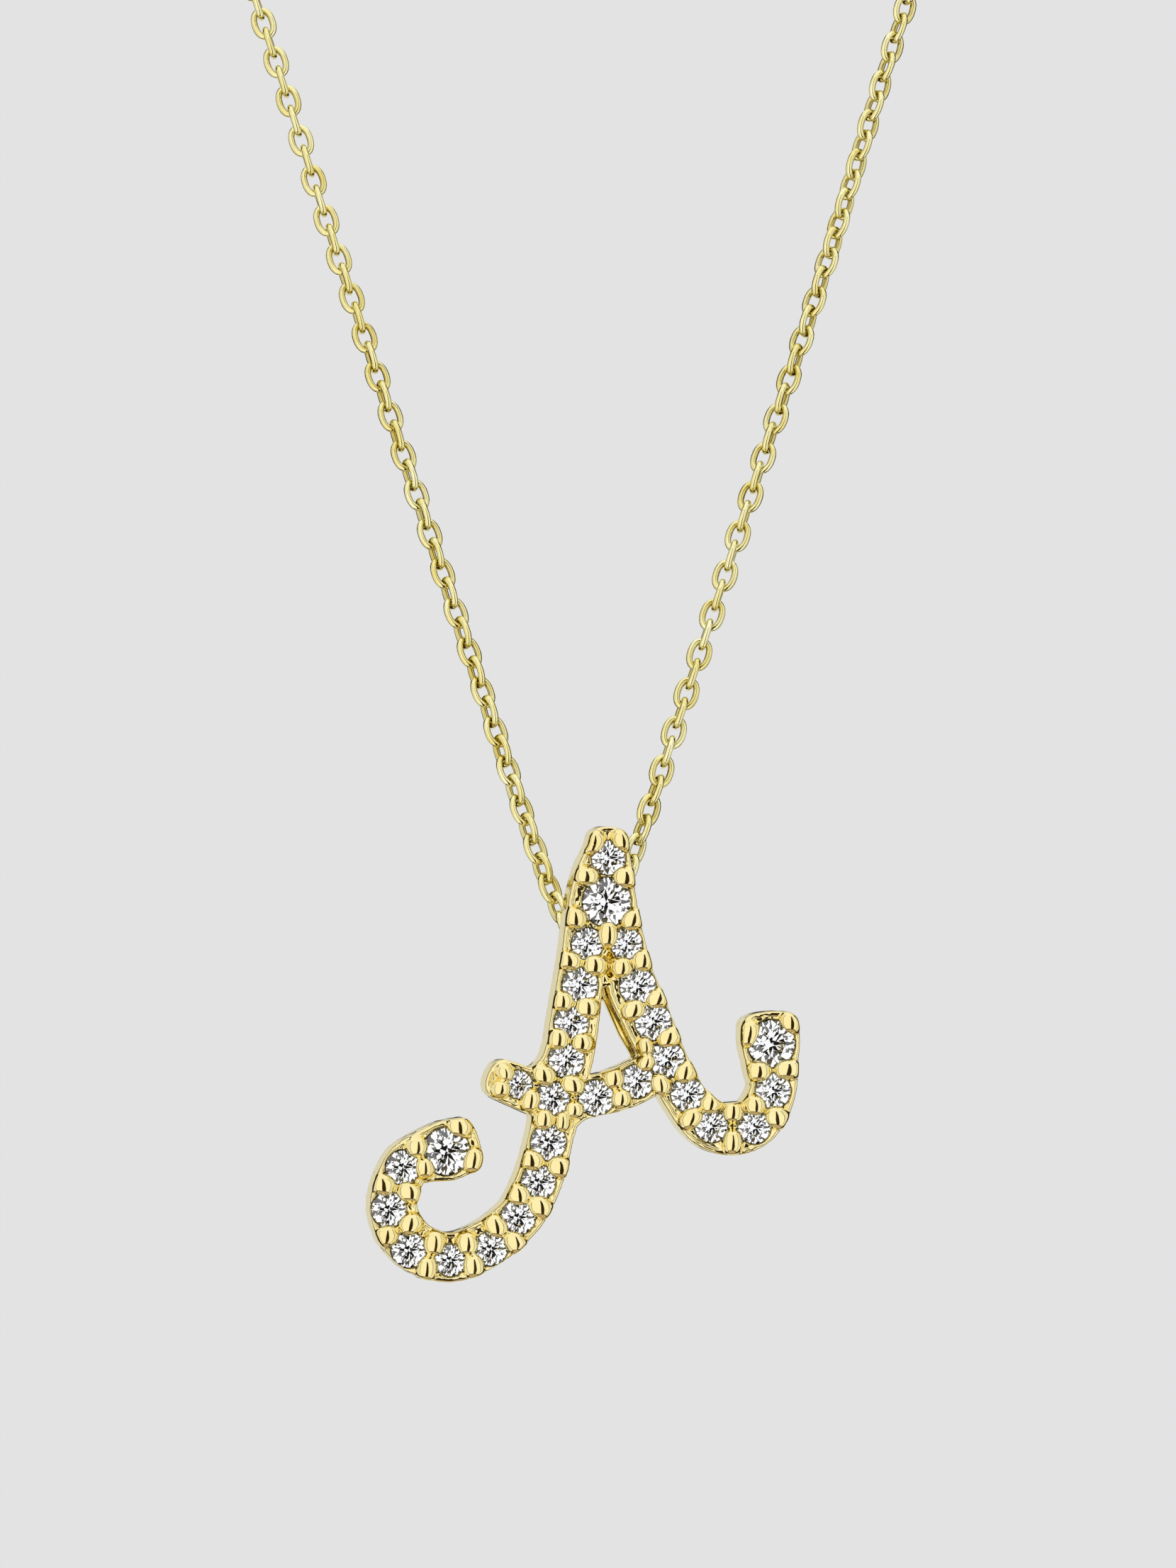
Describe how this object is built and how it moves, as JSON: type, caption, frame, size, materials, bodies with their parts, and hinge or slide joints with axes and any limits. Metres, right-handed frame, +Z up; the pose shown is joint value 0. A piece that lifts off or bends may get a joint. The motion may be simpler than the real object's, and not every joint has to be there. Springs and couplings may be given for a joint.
{
  "type": "initial pendant necklace",
  "caption": "Necklace with a script letter pendant set with round stones, hung by a hidden bail on a fine cable chain with a lobster clasp.",
  "frame": {"origin": "middle of the neck opening at the height of the nape, where the necklace hangs on a neck", "axes": "+Z up along the neck, the pendant's front faces -Y and +X is to the right as the front is seen"},
  "size_m": [0.1066, 0.1354, 0.141],
  "materials": {
    "letter_gold": "polished pale yellow gold",
    "chain_gold": "polished yellow gold links",
    "finding_gold": "polished yellow gold",
    "clear_stone": "clear faceted round stone"
  },
  "bodies": {
    "necklace": {"chain_left": "chain_gold", "chain_right": "chain_gold", "ring_left": "finding_gold", "ring_right": "finding_gold", "clasp": "finding_gold"},
    "pendant": {"letter_setting": "letter_gold", "stone_01": "clear_stone", "stone_02": "clear_stone", "stone_03": "clear_stone", "stone_04": "clear_stone", "stone_05": "clear_stone", "stone_06": "clear_stone", "stone_07": "clear_stone", "stone_08": "clear_stone", "stone_09": "clear_stone", "stone_10": "clear_stone", "stone_11": "clear_stone", "stone_12": "clear_stone", "stone_13": "clear_stone", "stone_14": "clear_stone", "stone_15": "clear_stone", "stone_16": "clear_stone", "stone_17": "clear_stone", "stone_18": "clear_stone", "stone_19": "clear_stone", "stone_20": "clear_stone", "stone_21": "clear_stone", "stone_22": "clear_stone", "stone_23": "clear_stone", "stone_24": "clear_stone", "stone_25": "clear_stone", "stone_26": "clear_stone", "stone_27": "clear_stone", "stone_28": "clear_stone"}
  },
  "joints": [
    {"name": "pendant_swing", "type": "hinge", "parent": "necklace", "child": "pendant", "pos_m": [0, -0.078, -0.1275], "axis": [1, 0, 0], "range_deg": [-15, 45]}
  ]
}
